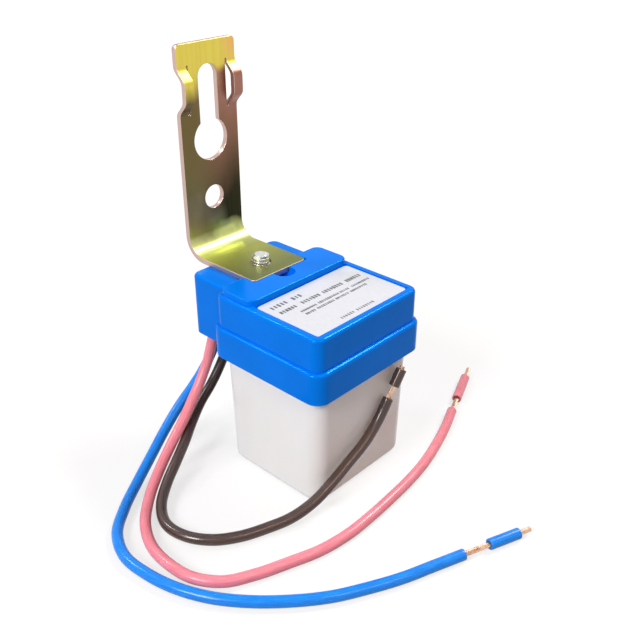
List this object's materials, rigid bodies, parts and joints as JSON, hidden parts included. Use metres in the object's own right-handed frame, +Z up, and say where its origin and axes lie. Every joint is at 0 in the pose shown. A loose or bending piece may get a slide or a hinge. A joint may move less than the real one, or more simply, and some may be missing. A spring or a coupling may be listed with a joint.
{
  "type": "photocell switch",
  "caption": "Photocell switch for outdoor lamps: a moulded cap on a translucent square cup, hung from a bent slotted bracket, with loose stripped leads.",
  "frame": {"origin": "middle of the housing and bracket seen from above, at the cup's base", "axes": "+X from the bracket's leg to the label end, +Z up along the bracket's leg"},
  "size_m": [0.096, 0.1193, 0.1006],
  "materials": {
    "cap_blue": "moulded, glossy",
    "cup_milky": "milky translucent",
    "label_white": "printed film",
    "zinc_yellow": "yellow passivated zinc",
    "screw_zinc": "bright zinc",
    "board_tan": "bare laminate",
    "case_black": "moulded",
    "film_amber": "moulded",
    "can_navy": "sleeved can",
    "varistor_blue": "dipped coat",
    "diode_glass": "clear",
    "resistor_tan": "dipped coat",
    "sensor_face": "coated ceramic",
    "lead_blue": "soft insulation",
    "lead_red": "soft insulation",
    "lead_brown": "soft insulation",
    "copper": "bare copper strands"
  },
  "bodies": {
    "root": {"top_cap": "cap_blue", "rating_label": "label_white", "light_cup": "cup_milky", "bracket": "zinc_yellow", "bracket_screw": "screw_zinc", "circuit_board": "board_tan", "relay": "case_black", "film_capacitor": "film_amber", "filter_capacitor": "can_navy", "surge_varistor": "varistor_blue", "rectifier_diodes": "case_black", "zener_diode": "diode_glass", "resistors": "resistor_tan", "transistors": "case_black", "light_sensor": "sensor_face", "blue_lead": "lead_blue", "red_lead": "lead_red", "brown_lead": "lead_brown", "blue_core": "copper", "red_core": "copper", "brown_core": "copper", "blue_sleeve": "lead_blue", "red_sleeve": "lead_red", "brown_sleeve": "lead_brown"}
  },
  "joints": []
}
